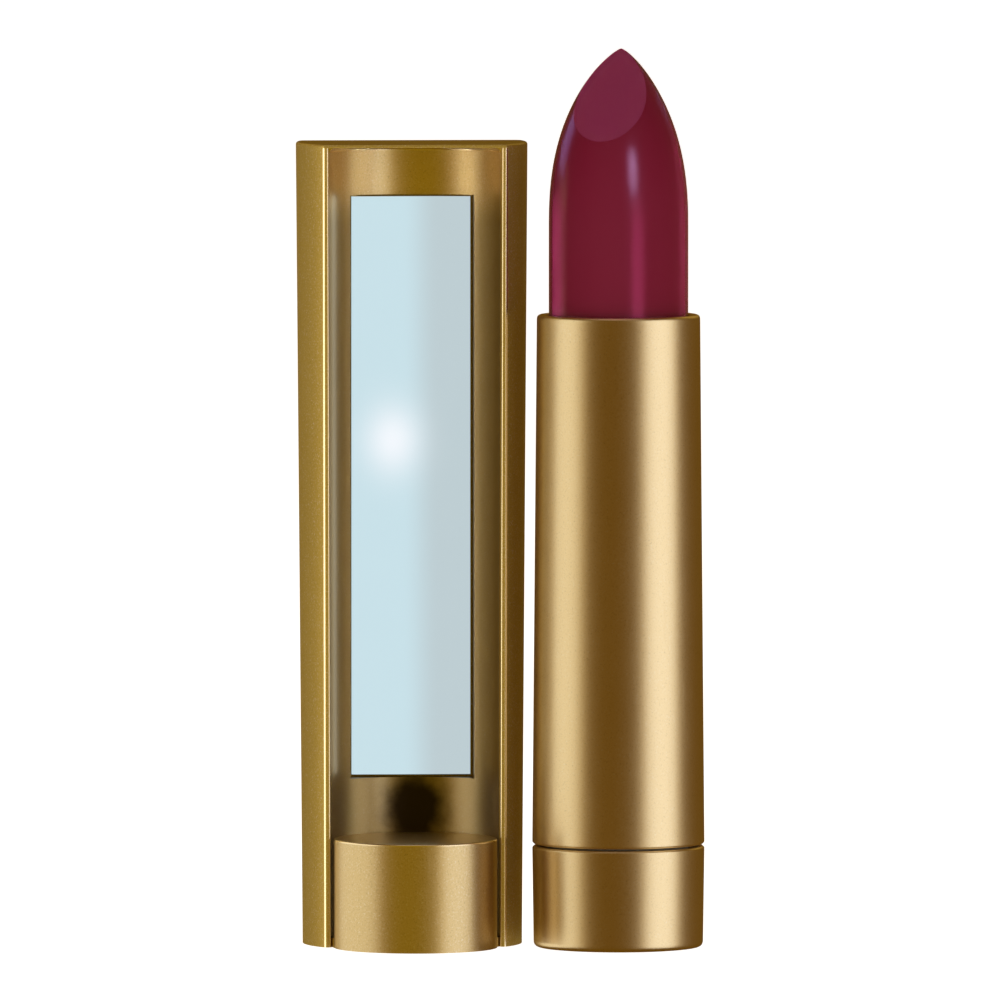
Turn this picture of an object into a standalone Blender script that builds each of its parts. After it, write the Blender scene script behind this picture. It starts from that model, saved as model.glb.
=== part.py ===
"""Swivel lipstick with its mirror case, modelled as separate pieces.

Frame: metres, +Z up, -Y is the front. The origin is at the middle of the whole set's
bounding box, at the height of the surface it stands on. The case stands on the left (-X),
the lipstick on the right (+X), wound fully out.
"""

import math

import bmesh
import bpy
from mathutils import Vector

MM = 0.001

# Whole set
CASE_TO_LIPSTICK = 17.65 * MM  # between the case's middle plane and the lipstick's axis
RUNNING_GAP = 0.06 * MM        # between pieces that turn or slide on each other
FIT_GAP = 0.05 * MM            # between pieces that are fixed together
OUTER_SIDES = 64
INNER_SIDES = 32

# Lipstick, outside
BASE_FOOT_RADIUS = 7.36 * MM
SEAM_RADIUS = 7.48 * MM
RIM_RADIUS = 7.09 * MM
SEAM_HEIGHT = 8.9 * MM
SEAM_HALF_GAP = 0.08 * MM
SEAM_CHAMFER = 0.16 * MM
RIM_HEIGHT = 55.0 * MM
RIM_ROUND = 0.4 * MM
BASE_ROUND = 0.55 * MM

# Bullet
BULLET_RADIUS = 6.05 * MM
BULLET_FOOT_RADIUS = 5.55 * MM
BULLET_FOOT_HEIGHT = 46.2 * MM
CUP_CLEARANCE = 0.1 * MM        # between the cup's top and the stick's shoulder
OGIVE_START = 62.8 * MM
OGIVE_LENGTH = 15.2 * MM
OGIVE_LAST = 0.9998             # share of the ogive's length where its last section lies
OGIVE_POWERS = (2.36, 0.77)     # how the radius falls: (1 - share ** first) ** second
TIP_SHIFT = 2.8 * MM            # the tip leans away from the facet by this much
TIP_SHIFT_POWER = 5
TIP_TURN = math.radians(8)      # from the back towards the right
FACET_SLOPE = math.radians(44.7)
FACET_TURN = math.radians(-22)  # from the front towards the left
FACET_DROP = 0.03 * MM          # how far the facet passes below the ogive's point

# Swivel mechanism
BARREL_BORE = 6.82 * MM
LIP_RADIUS = 6.26 * MM
LIP_THICKNESS = 0.5 * MM
SPIRAL_OUTER = 6.76 * MM
SPIRAL_WALL = 0.26 * MM
SPIRAL_SPAN = (11.9 * MM, 54.3 * MM)
GUIDE_OUTER = 6.40 * MM
GUIDE_WALL = 0.24 * MM
GUIDE_SPAN = (9.0 * MM, 54.3 * MM)
TRAVEL = 24.5 * MM             # of the carrier, wound in from fully out
TWIST = math.radians(540)      # of the base, for that travel
LUG_HEIGHT = 47.2 * MM         # fully out
LUG_RADIUS = 0.45 * MM
LUG_REACH = 6.68 * MM
SLOT_END_ROOM = 0.75 * MM      # of the straight slots, beyond the lug's middle
SLOT_HALF_HEIGHT = 0.66 * MM   # of the helical slots, measured along the axis
CUP_SPAN = (45.3 * MM, 53.0 * MM)
CUP_RADIUS = 6.04 * MM
CUP_WALL = 0.42 * MM
CUP_FLOOR = 0.8 * MM
COLLAR_SPAN = (9.8 * MM, 10.7 * MM)
BRAKE_SPAN = (9.05 * MM, 9.7 * MM)
BRAKE_GAP = 0.02 * MM          # between the soft ring and the sleeve's bore line

# Case: a section at the foot (z = 0) and one at the far end, with straight lines between
CASE_HEIGHT = 69.8 * MM
CASE_ARC = (9.55 * MM, 10.08 * MM)         # radius of the bowed sides, foot and far end
CASE_ARC_BACK = (5.45 * MM, 6.20 * MM)     # from the rails' plane to that arc's centre
CASE_DEPTH = 9.0 * MM                      # from the rails' plane to the flat back
CASE_WALL = 0.65 * MM
CASE_END = 0.3 * MM
CORNER_ROUND = 0.5 * MM
CHANNEL_RADIUS = (7.36 * MM, 7.55 * MM)    # its axis lies between the rails
LINER_SIDE = 0.45 * MM                     # the liner's least thickness beside the channel
LINER_BACK = 8.2 * MM                      # where the liner's flat back lies
LINER_CORNER = 2.0 * MM
LINER_SEAM = 0.95 * MM                     # behind the rails' plane, where the liner starts
LINER_EDGE = 0.16 * MM                     # the liner's thickness there
LINER_FULL = 2.2 * MM                      # behind the rails' plane, where its side runs straight
RAIL_THICKNESS = 0.6 * MM                  # front to back, at the mouth
FOOT_RADIUS = 7.1 * MM
FOOT_HEIGHT = 9.45 * MM
FOOT_RISE = 0.08 * MM                      # of the foot's top, front to back
PLUG_THICKNESS = 0.8 * MM
PLUG_GAPS = (0.2 * MM, 0.02 * MM, 0.3 * MM)  # to the mouth, the rails' plane and the rails' backs
PLUG_TO_LINER = 0.1 * MM
CUTTER_MARGIN = 2 * MM                     # how far a cutter runs past what it cuts
MIRROR_WIDTH = 10.5 * MM
MIRROR_SPAN = (14.45 * MM, 65.0 * MM)
MIRROR_DEPTH = 7.66 * MM                   # of its face, behind the rails' plane
MIRROR_GAP = 0.15 * MM
GLASS_THICKNESS = 0.52 * MM
TAPE_THICKNESS = 0.1 * MM
TAPE_GAP = 0.02 * MM
TAPE_INSET = 0.6 * MM                      # from the glass's edges

# Derived places
SET_WIDTH = CASE_ARC[1] + CASE_TO_LIPSTICK + SEAM_RADIUS
CASE_X = CASE_ARC[1] - SET_WIDTH / 2
LIPSTICK_X = CASE_X + CASE_TO_LIPSTICK
AXIS_Y = (SEAM_RADIUS - CASE_DEPTH) / 2    # of the lipstick's axis and of the rails' plane
HELIX_RISE = TRAVEL / TWIST                # metres for each radian of twist

COLOURS = {
    "gold": (0.60, 0.43, 0.14, 1.0),
    "case_gold": (0.42, 0.28, 0.06, 1.0),
    "wax": (0.24, 0.02, 0.06, 1.0),
    "brass": (0.55, 0.40, 0.18, 1.0),
    "white_plastic": (0.72, 0.70, 0.66, 1.0),
    "dark_plastic": (0.05, 0.05, 0.05, 1.0),
    "steel": (0.45, 0.45, 0.47, 1.0),
    "mirror": (0.62, 0.74, 0.78, 1.0),
    "label": (0.80, 0.76, 0.66, 1.0),
}


def clear_scene():
    for obj in list(bpy.data.objects):
        bpy.data.objects.remove(obj, do_unlink=True)


def new_collection(name):
    collection = bpy.data.collections.new(name)
    bpy.context.scene.collection.children.link(collection)
    return collection


def material(name, colour, roughness, metallic):
    made = bpy.data.materials.new(name)
    made.use_nodes = True
    shader = made.node_tree.nodes["Principled BSDF"]
    shader.inputs["Base Color"].default_value = COLOURS[colour]
    shader.inputs["Roughness"].default_value = roughness
    shader.inputs["Metallic"].default_value = metallic
    return made


def add_piece(name, mesh, look, parent, collection):
    """A node of the object: its mesh, its own material and the empty that carries it."""
    obj = bpy.data.objects.new(name, mesh)
    collection.objects.link(obj)
    obj.parent = parent
    colour, roughness, metallic = look
    mesh.materials.append(material(name, colour, roughness, metallic))
    return obj


def add_cutter(name, mesh, parent, collection):
    obj = bpy.data.objects.new(name, mesh)
    collection.objects.link(obj)
    obj.parent = parent
    obj.hide_render = True
    obj.display_type = "WIRE"
    return obj


def add_empty(name, place, collection, parent=None):
    empty = bpy.data.objects.new(name, None)
    collection.objects.link(empty)
    empty.parent = parent
    empty.location = place
    return empty


def boolean(obj, other, operation):
    modifier = obj.modifiers.new(operation.title(), "BOOLEAN")
    modifier.operation = operation
    modifier.object = other
    modifier.solver = "EXACT"


def smooth(obj, angle=math.radians(30)):
    obj.data.shade_smooth()
    obj.data.set_sharp_from_angle(angle=angle)


def arc(centre, radius, start, end, steps):
    """Points on an arc, in the plane of the two given coordinates, ends included."""
    points = []
    for i in range(steps + 1):
        angle = start + (end - start) * i / steps
        points.append((centre[0] + radius * math.cos(angle), centre[1] + radius * math.sin(angle)))
    return points


def turned_mesh(name, profile):
    """A mesh of one open or closed line of (radius, height) points, for a Screw modifier."""
    mesh = bpy.data.meshes.new(name)
    build = bmesh.new()
    corners = [build.verts.new((radius, 0, height)) for radius, height in profile]
    for first, second in zip(corners, corners[1:]):
        build.edges.new((first, second))
    if profile[0][0] > 0 and profile[-1][0] > 0:
        build.edges.new((corners[-1], corners[0]))
    build.to_mesh(mesh)
    build.free()
    return mesh


def screw(obj, sides):
    modifier = obj.modifiers.new("Screw", "SCREW")
    modifier.steps = sides
    modifier.render_steps = sides
    modifier.use_merge_vertices = True
    modifier.merge_threshold = 0.00001
    modifier.use_smooth_shade = True


def turned(name, profile, look, parent, collection, sides=INNER_SIDES):
    """A turned piece. Its profile runs down the outer side, top to bottom."""
    obj = add_piece(name, turned_mesh(name, profile), look, parent, collection)
    screw(obj, sides)
    return obj


def ring(name, inner, outer, bottom, top, look, parent, collection, chamfer=0.1 * MM):
    """A plain ring of rectangular section with its outer corners taken off."""
    profile = [
        (inner, top),
        (outer - chamfer, top),
        (outer, top - chamfer),
        (outer, bottom + chamfer),
        (outer - chamfer, bottom),
        (inner, bottom),
    ]
    return turned(name, profile, look, parent, collection)


def lofted_mesh(name, sections):
    """A closed mesh through sections, each a list of points with the same count."""
    mesh = bpy.data.meshes.new(name)
    build = bmesh.new()
    rings = [[build.verts.new(point) for point in section] for section in sections]
    count = len(rings[0])
    for lower, upper in zip(rings, rings[1:]):
        for i in range(count):
            j = (i + 1) % count
            build.faces.new((lower[i], lower[j], upper[j], upper[i]))
    build.faces.new(list(reversed(rings[0])))
    build.faces.new(rings[-1])
    bmesh.ops.recalc_face_normals(build, faces=build.faces)
    build.to_mesh(mesh)
    build.free()
    return mesh


def box_mesh(name, low, high):
    mesh = bpy.data.meshes.new(name)
    build = bmesh.new()
    bmesh.ops.create_cube(build, size=1.0)
    for vert in build.verts:
        vert.co = Vector(
            (low[i] + high[i]) / 2 + vert.co[i] * (high[i] - low[i]) for i in range(3)
        )
    build.to_mesh(mesh)
    build.free()
    return mesh


# ---------------------------------------------------------------- lipstick


def outer_radius(height):
    """Radius of the barrel's tapered side at a height."""
    share = (height - SEAM_HEIGHT) / (RIM_HEIGHT - SEAM_HEIGHT)
    return SEAM_RADIUS + (RIM_RADIUS - SEAM_RADIUS) * share


def make_barrel(parent, collection):
    foot = SEAM_HEIGHT + SEAM_HALF_GAP
    side_top = RIM_HEIGHT - RIM_ROUND
    round_centre = (outer_radius(side_top) - RIM_ROUND, side_top)
    profile = [(LIP_RADIUS, RIM_HEIGHT)]
    profile += arc(round_centre, RIM_ROUND, math.pi / 2, 0, 5)
    profile += [
        (SEAM_RADIUS, foot + SEAM_CHAMFER),
        (SEAM_RADIUS - SEAM_CHAMFER, foot),
        (BARREL_BORE, foot),
        (BARREL_BORE, RIM_HEIGHT - LIP_THICKNESS),
        (LIP_RADIUS, RIM_HEIGHT - LIP_THICKNESS),
    ]
    return turned("barrel", profile, ("gold", 0.35, 1.0), parent, collection, OUTER_SIDES)


def make_base_cap(parent, collection):
    top = SEAM_HEIGHT - SEAM_HALF_GAP
    wall, floor, recess = 0.5 * MM, 1.3 * MM, 0.4 * MM
    label_radius = 5.7 * MM
    profile = [
        (SEAM_RADIUS - wall, top),
        (SEAM_RADIUS - SEAM_CHAMFER, top),
        (SEAM_RADIUS, top - SEAM_CHAMFER),
    ]
    round_centre = (BASE_FOOT_RADIUS - BASE_ROUND, BASE_ROUND)
    profile += arc(round_centre, BASE_ROUND, 0, -math.pi / 2, 6)
    profile += [
        (label_radius, 0),
        (label_radius, recess),
        (0, recess),
    ]
    profile = [(0, floor), (SEAM_RADIUS - wall, floor)] + profile
    return turned("base_cap", profile, ("gold", 0.35, 1.0), parent, collection, OUTER_SIDES)


def make_shade_label(parent, collection):
    top, bottom, radius = 0.35 * MM, 0.15 * MM, 5.5 * MM
    profile = [(0, top), (radius, top), (radius, bottom), (0, bottom)]
    return turned("shade_label", profile, ("label", 0.6, 0.0), parent, collection)


def make_base_hub(parent, collection):
    """The plastic core of the base: a cup open downwards for the weight, and a hollow neck."""
    rim, neck = SEAM_RADIUS - 0.65 * MM, GUIDE_OUTER - GUIDE_WALL - FIT_GAP
    chamfer = 0.3 * MM
    bottom, shoulder, top = 1.4 * MM, 8.4 * MM, 13.0 * MM
    cavity, cavity_top, bore = 5.7 * MM, 6.6 * MM, 4.6 * MM
    profile = [
        (bore, top),
        (neck - chamfer, top),
        (neck, top - chamfer),
        (neck, shoulder),
        (rim, shoulder),
        (rim, bottom),
        (cavity, bottom),
        (cavity, cavity_top),
        (bore, cavity_top),
    ]
    return turned("base_hub", profile, ("white_plastic", 0.5, 0.0), parent, collection)


def make_base_weight(parent, collection):
    top, bottom, radius, chamfer = 6.4 * MM, 1.4 * MM, 5.6 * MM, 0.3 * MM
    profile = [
        (0, top),
        (radius - chamfer, top),
        (radius, top - chamfer),
        (radius, bottom + chamfer),
        (radius - chamfer, bottom),
        (0, bottom),
    ]
    return turned("base_weight", profile, ("steel", 0.35, 1.0), parent, collection)


def make_retaining_ring(parent, cutters, collection):
    """A split ring: the cutter leaves the opening that lets it spring on to the tube."""
    bottom, top = 10.9 * MM, 11.6 * MM
    obj = ring(
        "retaining_ring",
        GUIDE_OUTER + FIT_GAP,
        SPIRAL_OUTER,
        bottom,
        top,
        ("steel", 0.3, 1.0),
        parent,
        collection,
    )
    half_split = 0.9 * MM
    low = (0, -half_split, bottom - CUTTER_MARGIN)
    high = (SPIRAL_OUTER + CUTTER_MARGIN, half_split, top + CUTTER_MARGIN)
    mesh = box_mesh("ring_split", low, high)
    boolean(obj, add_cutter("ring_split", mesh, parent, cutters), "DIFFERENCE")
    return obj


def tube_line(index, phase):
    angle = math.tau * (index + phase) / INNER_SIDES
    return math.cos(angle), math.sin(angle)


def slotted_tube(name, outer, wall, span, holes, phase, look, parent, collection):
    """A tube made of flat strips. A hole is (strip, (low, high) on the strip's first edge,
    (low, high) on its second edge), and holes in neighbouring strips join into a slot."""
    span = tuple(round(height, 7) for height in span)
    strips = [[] for _ in range(INNER_SIDES)]
    columns = [set(span) for _ in range(INNER_SIDES)]
    for strip, first, second in holes:
        first, second = (tuple(round(height, 7) for height in pair) for pair in (first, second))
        strips[strip].append((first, second))
        columns[strip] |= set(first)
        columns[(strip + 1) % INNER_SIDES] |= set(second)
    mesh = bpy.data.meshes.new(name)
    build = bmesh.new()
    verts = []
    for i, heights in enumerate(columns):
        x, y = tube_line(i, phase)
        verts.append({height: build.verts.new((outer * x, outer * y, height)) for height in heights})
    for i in range(INNER_SIDES):
        j = (i + 1) % INNER_SIDES
        edges = sorted(strips[i])
        floors = [(span[0], span[0])] + [(first[1], second[1]) for first, second in edges]
        ceilings = [(first[0], second[0]) for first, second in edges] + [(span[1], span[1])]
        for floor, ceiling in zip(floors, ceilings):
            up = [h for h in sorted(verts[j]) if floor[1] <= h <= ceiling[1]]
            down = [h for h in sorted(verts[i], reverse=True) if floor[0] <= h <= ceiling[0]]
            build.faces.new([verts[j][h] for h in up] + [verts[i][h] for h in down])
    build.to_mesh(mesh)
    build.free()
    obj = add_piece(name, mesh, look, parent, collection)
    solidify = obj.modifiers.new("Wall", "SOLIDIFY")
    solidify.thickness = wall
    solidify.offset = -1.0
    solidify.use_even_offset = True
    return obj


def make_guide_tube(parent, collection):
    """Two straight slots, one strip wide, on the left and the right."""
    opening = (LUG_HEIGHT - TRAVEL - SLOT_END_ROOM, LUG_HEIGHT + SLOT_END_ROOM)
    holes = [(strip, opening, opening) for strip in (0, INNER_SIDES // 2)]
    look = ("white_plastic", 0.45, 0.0)
    return slotted_tube(
        "guide_tube", GUIDE_OUTER, GUIDE_WALL, GUIDE_SPAN, holes, -0.5, look, parent, collection
    )


def make_spiral_sleeve(parent, collection):
    """Two helical slots, half a turn apart, that fall by HELIX_RISE for each radian. Each runs
    one strip past the lug's highest and lowest places."""
    drop = HELIX_RISE * math.tau / INNER_SIDES
    strips_of_travel = round(TWIST / math.tau * INNER_SIDES)
    holes = []
    for start in (0, INNER_SIDES // 2):
        for step in range(-1, strips_of_travel + 1):
            middle = LUG_HEIGHT - drop * step
            first = (middle - SLOT_HALF_HEIGHT, middle + SLOT_HALF_HEIGHT)
            second = (first[0] - drop, first[1] - drop)
            holes.append(((start + step) % INNER_SIDES, first, second))
    look = ("brass", 0.4, 1.0)
    return slotted_tube(
        "spiral_sleeve", SPIRAL_OUTER, SPIRAL_WALL, SPIRAL_SPAN, holes, 0, look, parent, collection
    )


def make_carrier_cup(parent, collection):
    """A cup for the bullet's foot; make_lugs adds its two lugs."""
    bottom, top = CUP_SPAN
    chamfer = 0.25 * MM
    inside = CUP_RADIUS - CUP_WALL
    profile = [
        (0, bottom + CUP_FLOOR),
        (inside, bottom + CUP_FLOOR),
        (inside, top),
        (CUP_RADIUS, top),
        (CUP_RADIUS, bottom + chamfer),
        (CUP_RADIUS - chamfer, bottom),
        (0, bottom),
    ]
    return turned("carrier_cup", profile, ("white_plastic", 0.45, 0.0), parent, collection)


def make_lugs(cup, parent, cutters):
    for side, name in ((1, "lug_right"), (-1, "lug_left")):
        mesh = bpy.data.meshes.new(name)
        build = bmesh.new()
        inner = CUP_RADIUS - CUP_WALL / 2
        bmesh.ops.create_cone(
            build,
            cap_ends=True,
            segments=12,
            radius1=LUG_RADIUS,
            radius2=LUG_RADIUS,
            depth=LUG_REACH - inner,
        )
        for vert in build.verts:
            x, y, z = vert.co
            vert.co = Vector((side * (z + (LUG_REACH + inner) / 2), side * y, x + LUG_HEIGHT))
        bmesh.ops.recalc_face_normals(build, faces=build.faces)
        build.to_mesh(mesh)
        build.free()
        boolean(cup, add_cutter(name, mesh, parent, cutters), "UNION")


def bullet_ring(radius, height, shift=0.0, sides=48):
    """One section of the stick, its middle shifted away from the facet."""
    middle_x, middle_y = shift * math.sin(TIP_TURN), shift * math.cos(TIP_TURN)
    points = []
    for i in range(sides):
        angle = math.tau * i / sides
        x, y = middle_x + radius * math.cos(angle), middle_y + radius * math.sin(angle)
        points.append((x, y, height))
    return points


def ogive_ring(share):
    """The ogive's section at a share of its length, 1 at the point."""
    first, second = OGIVE_POWERS
    radius = BULLET_RADIUS * (1 - share**first) ** second
    return bullet_ring(radius, OGIVE_START + OGIVE_LENGTH * share, TIP_SHIFT * share**TIP_SHIFT_POWER)


def make_bullet(parent, cutters, collection):
    """A round bar with a narrower foot and an ogive whose point leans back, cut by one
    slanted plane that passes just below the point."""
    shoulder = CUP_SPAN[1] + CUP_CLEARANCE
    steps = 20
    sections = [
        bullet_ring(BULLET_FOOT_RADIUS, BULLET_FOOT_HEIGHT),
        bullet_ring(BULLET_FOOT_RADIUS, shoulder),
        bullet_ring(BULLET_RADIUS, shoulder),
    ]
    sections += [ogive_ring(1 - (1 - i / steps) ** 2) for i in range(steps)]
    sections.append(ogive_ring(OGIVE_LAST))
    mesh = lofted_mesh("bullet", sections)
    obj = add_piece("bullet", mesh, ("wax", 0.3, 0.0), parent, collection)
    size = 20 * MM
    mesh = box_mesh("facet", (-size, -size, 0), (size, size, size))
    cutter = add_cutter("facet", mesh, parent, cutters)
    cutter.rotation_euler = (FACET_SLOPE, 0, FACET_TURN)
    normal = Vector((0, 0, 1))
    normal.rotate(cutter.rotation_euler)
    lean_x, lean_y = TIP_SHIFT * math.sin(TIP_TURN), TIP_SHIFT * math.cos(TIP_TURN)
    point = Vector((lean_x, lean_y, OGIVE_START + OGIVE_LENGTH))
    cutter.location = point - normal * FACET_DROP
    boolean(obj, cutter, "DIFFERENCE")
    smooth(obj)
    return obj


def make_lipstick(collection, cutters, root):
    barrel = add_empty("barrel_axis", (LIPSTICK_X, AXIS_Y, 0), collection, root)
    base = add_empty("base_axis", (LIPSTICK_X, AXIS_Y, 0), collection, root)
    carrier = add_empty("carrier_axis", (LIPSTICK_X, AXIS_Y, 0), collection, root)
    make_barrel(barrel, collection)
    make_spiral_sleeve(barrel, collection)
    collar = (GUIDE_OUTER + RUNNING_GAP, SPIRAL_OUTER, *COLLAR_SPAN)
    ring("barrel_collar", *collar, ("brass", 0.4, 1.0), barrel, collection)
    make_base_cap(base, collection)
    make_base_hub(base, collection)
    make_base_weight(base, collection)
    make_shade_label(base, collection)
    make_guide_tube(base, collection)
    make_retaining_ring(base, cutters, collection)
    brake = (GUIDE_OUTER + FIT_GAP, SPIRAL_OUTER - BRAKE_GAP, *BRAKE_SPAN)
    ring("brake_ring", *brake, ("dark_plastic", 0.7, 0.0), base, collection, 0.15 * MM)
    cup = make_carrier_cup(carrier, collection)
    make_lugs(cup, carrier, cutters)
    make_bullet(carrier, cutters, collection)


# ---------------------------------------------------------------- mirror case


def between(ends, share):
    return ends[0] + (ends[1] - ends[0]) * share


def mirrored(points):
    """Both halves of an outline from its right half, given front to back."""
    return points + [(-x, y) for x, y in reversed(points)]


def bowed_side(share, inset, front, back, steps=14):
    """The right half of the bowed outline, front to back, with its back corner rounded."""
    radius = between(CASE_ARC, share) - inset
    centre = between(CASE_ARC_BACK, share)
    rounding = CORNER_ROUND
    corner_y = back - rounding
    start = math.asin((front - centre) / radius)
    end = math.asin((corner_y - centre) / (radius - rounding))
    points = arc((0, centre), radius, start, end, steps)
    corner_x = (radius - rounding) * math.cos(end)
    points += arc((corner_x, corner_y), rounding, end, math.pi / 2, 4)[1:]
    return points


def wall_x(share, depth):
    """Half the round channel's width at a depth behind the rails' plane."""
    return math.sqrt(between(CHANNEL_RADIUS, share) ** 2 - depth**2)


def place(points, height):
    return [(x, y, height) for x, y in points]


def case_loft(name, outline, bottom, top):
    """A loft between the outlines at two heights; outline(share) has a fixed point count."""
    heights = (bottom, top)
    return lofted_mesh(name, [place(outline(h / CASE_HEIGHT), h) for h in heights])


def shell_outline(share):
    return mirrored(bowed_side(share, 0, 0, CASE_DEPTH))


def lip_meets_arc(share):
    """How deep the channel's wall line runs before it meets the shell's inner arc."""
    radius = between(CASE_ARC, share) - CASE_WALL
    centre = between(CASE_ARC_BACK, share)
    return centre - math.sqrt(radius**2 - wall_x(share, RAIL_THICKNESS) ** 2)


def cavity_outline(share):
    """Everything inside the shell: the mouth between the rails and the space behind."""
    mouth = between(CHANNEL_RADIUS, share)
    half = [(mouth, -CUTTER_MARGIN), (mouth, 0)]
    half += bowed_side(share, CASE_WALL, lip_meets_arc(share), CASE_DEPTH - CASE_WALL)
    return mirrored(half)


def make_case_shell(parent, cutters, collection):
    mesh = case_loft("case_shell", shell_outline, 0, CASE_HEIGHT)
    obj = add_piece("case_shell", mesh, ("case_gold", 0.35, 1.0), parent, collection)
    cavity = case_loft("shell_cavity", cavity_outline, -CUTTER_MARGIN, CASE_HEIGHT - CASE_END)
    boolean(obj, add_cutter("shell_cavity", cavity, parent, cutters), "DIFFERENCE")
    return obj


def bezier(start, corner, end, steps):
    """Points on the curve that rounds off a corner, ends included."""
    points = []
    for i in range(steps + 1):
        t = i / steps
        weights = ((1 - t) ** 2, 2 * t * (1 - t), t**2)
        points.append(
            tuple(sum(w * p[k] for w, p in zip(weights, (start, corner, end))) for k in range(2))
        )
    return points


def liner_outline(share):
    """The tray: its outer side from the right rail round to the left, then the round channel."""
    radius = between(CHANNEL_RADIUS, share)
    side = radius + LINER_SIDE
    outer = [(wall_x(share, LINER_SEAM) + LINER_EDGE, LINER_SEAM), (side, LINER_FULL)]
    corner_start = (side, LINER_BACK - LINER_CORNER)
    corner_end = (side - LINER_CORNER, LINER_BACK)
    outer += bezier(corner_start, (side, LINER_BACK), corner_end, 6)
    steps = 24
    seam_angle = math.asin(LINER_SEAM / radius)
    channel = arc((0, 0), radius, math.pi - seam_angle, seam_angle, steps)
    return mirrored(outer) + channel


def make_case_liner(parent, cutters, collection):
    bottom, top = PLUG_THICKNESS + PLUG_TO_LINER, CASE_HEIGHT - CASE_END - FIT_GAP
    mesh = case_loft("case_liner", liner_outline, bottom, top)
    obj = add_piece("case_liner", mesh, ("case_gold", 0.38, 1.0), parent, collection)
    half = MIRROR_WIDTH / 2 + MIRROR_GAP
    low = (-half, MIRROR_DEPTH / 2, MIRROR_SPAN[0] - MIRROR_GAP)
    high = (half, CASE_DEPTH + CUTTER_MARGIN, MIRROR_SPAN[1] + MIRROR_GAP)
    window = add_cutter("mirror_window", box_mesh("mirror_window", low, high), parent, cutters)
    boolean(obj, window, "DIFFERENCE")
    return obj


def plug_outline(share):
    """The plate that closes the case's end, inside the shell's walls."""
    mouth_gap, front_gap, rail_gap = PLUG_GAPS
    half = [(between(CHANNEL_RADIUS, share) - mouth_gap, front_gap)]
    meets = lip_meets_arc(share) + rail_gap
    half += bowed_side(share, CASE_WALL + FIT_GAP, meets, CASE_DEPTH - CASE_WALL - FIT_GAP)
    return mirrored(half)


def make_case_foot(parent, cutters, collection):
    """The plate and, standing on it, the round block whose top rises towards the back."""
    mesh = case_loft("case_foot", plug_outline, 0, PLUG_THICKNESS)
    obj = add_piece("case_foot", mesh, ("case_gold", 0.35, 1.0), parent, collection)
    outline = arc((0, 0), FOOT_RADIUS, 0, math.tau, OUTER_SIDES)[:-1]
    top = []
    for x, y in outline:
        share = (y + FOOT_RADIUS) / (2 * FOOT_RADIUS)
        top.append((x, y, FOOT_HEIGHT + FOOT_RISE * share))
    block = lofted_mesh("foot_block", [place(outline, 0), top])
    boolean(obj, add_cutter("foot_block", block, parent, cutters), "UNION")
    return obj


def make_mirror(parent, collection):
    half = MIRROR_WIDTH / 2
    back = MIRROR_DEPTH + GLASS_THICKNESS
    low, high = (-half, MIRROR_DEPTH, MIRROR_SPAN[0]), (half, back, MIRROR_SPAN[1])
    mesh = box_mesh("mirror_glass", low, high)
    add_piece("mirror_glass", mesh, ("mirror", 0.03, 1.0), parent, collection)
    low = (-half + TAPE_INSET, back + TAPE_GAP, MIRROR_SPAN[0] + TAPE_INSET)
    high = (half - TAPE_INSET, back + TAPE_GAP + TAPE_THICKNESS, MIRROR_SPAN[1] - TAPE_INSET)
    mesh = box_mesh("mirror_tape", low, high)
    add_piece("mirror_tape", mesh, ("dark_plastic", 0.8, 0.0), parent, collection)


def make_case(collection, cutters, root):
    case = add_empty("case_middle", (CASE_X, AXIS_Y, 0), collection, root)
    make_case_shell(case, cutters, collection)
    make_case_liner(case, cutters, collection)
    make_case_foot(case, cutters, collection)
    make_mirror(case, collection)


def main():
    clear_scene()
    collection = new_collection("lipstick_case")
    cutters = new_collection("cutters")
    root = add_empty("lipstick_case_origin", (0, 0, 0), collection)
    make_lipstick(collection, cutters, root)
    make_case(collection, cutters, root)
    for obj in collection.objects:
        if obj.type == "MESH":
            smooth(obj)


main()
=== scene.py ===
"""Looks for a swivel lipstick and its mirror case.

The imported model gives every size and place; this file builds the fine surfaces round it, gives
each piece its finish, and sets up a pale studio. It is laid out as an add-on: each group of
pieces has an operator, and the sidebar panel lists them.
"""

import math

import bmesh
import bpy
from bpy.props import FloatProperty, FloatVectorProperty, PointerProperty
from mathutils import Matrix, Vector


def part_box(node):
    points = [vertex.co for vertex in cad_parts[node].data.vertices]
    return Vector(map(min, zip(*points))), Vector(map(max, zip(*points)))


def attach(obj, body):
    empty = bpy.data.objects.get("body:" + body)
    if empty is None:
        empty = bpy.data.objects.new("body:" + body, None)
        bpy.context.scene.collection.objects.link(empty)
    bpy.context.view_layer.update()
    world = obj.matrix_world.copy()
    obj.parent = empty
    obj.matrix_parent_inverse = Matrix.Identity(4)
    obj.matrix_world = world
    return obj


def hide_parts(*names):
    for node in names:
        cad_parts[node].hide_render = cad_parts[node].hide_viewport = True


bl_info = {
    "name": "Lipstick and mirror case",
    "version": (1, 0, 0),
    "blender": (4, 5, 0),
    "location": "3D View > Sidebar > Lipstick",
    "description": "Builds the looks of a swivel lipstick and its mirror case",
    "category": "Object",
}

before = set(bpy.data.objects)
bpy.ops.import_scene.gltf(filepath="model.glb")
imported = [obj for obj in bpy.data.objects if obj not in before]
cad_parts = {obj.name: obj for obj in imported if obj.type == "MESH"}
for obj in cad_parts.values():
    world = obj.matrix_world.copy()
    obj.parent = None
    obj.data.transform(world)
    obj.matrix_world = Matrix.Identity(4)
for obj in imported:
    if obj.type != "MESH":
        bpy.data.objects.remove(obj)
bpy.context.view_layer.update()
MM = 0.001


def middle(node, axis):
    low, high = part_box(node)
    return (low[axis] + high[axis]) / 2


def half_size(node, axis):
    low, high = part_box(node)
    return (high[axis] - low[axis]) / 2


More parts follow.
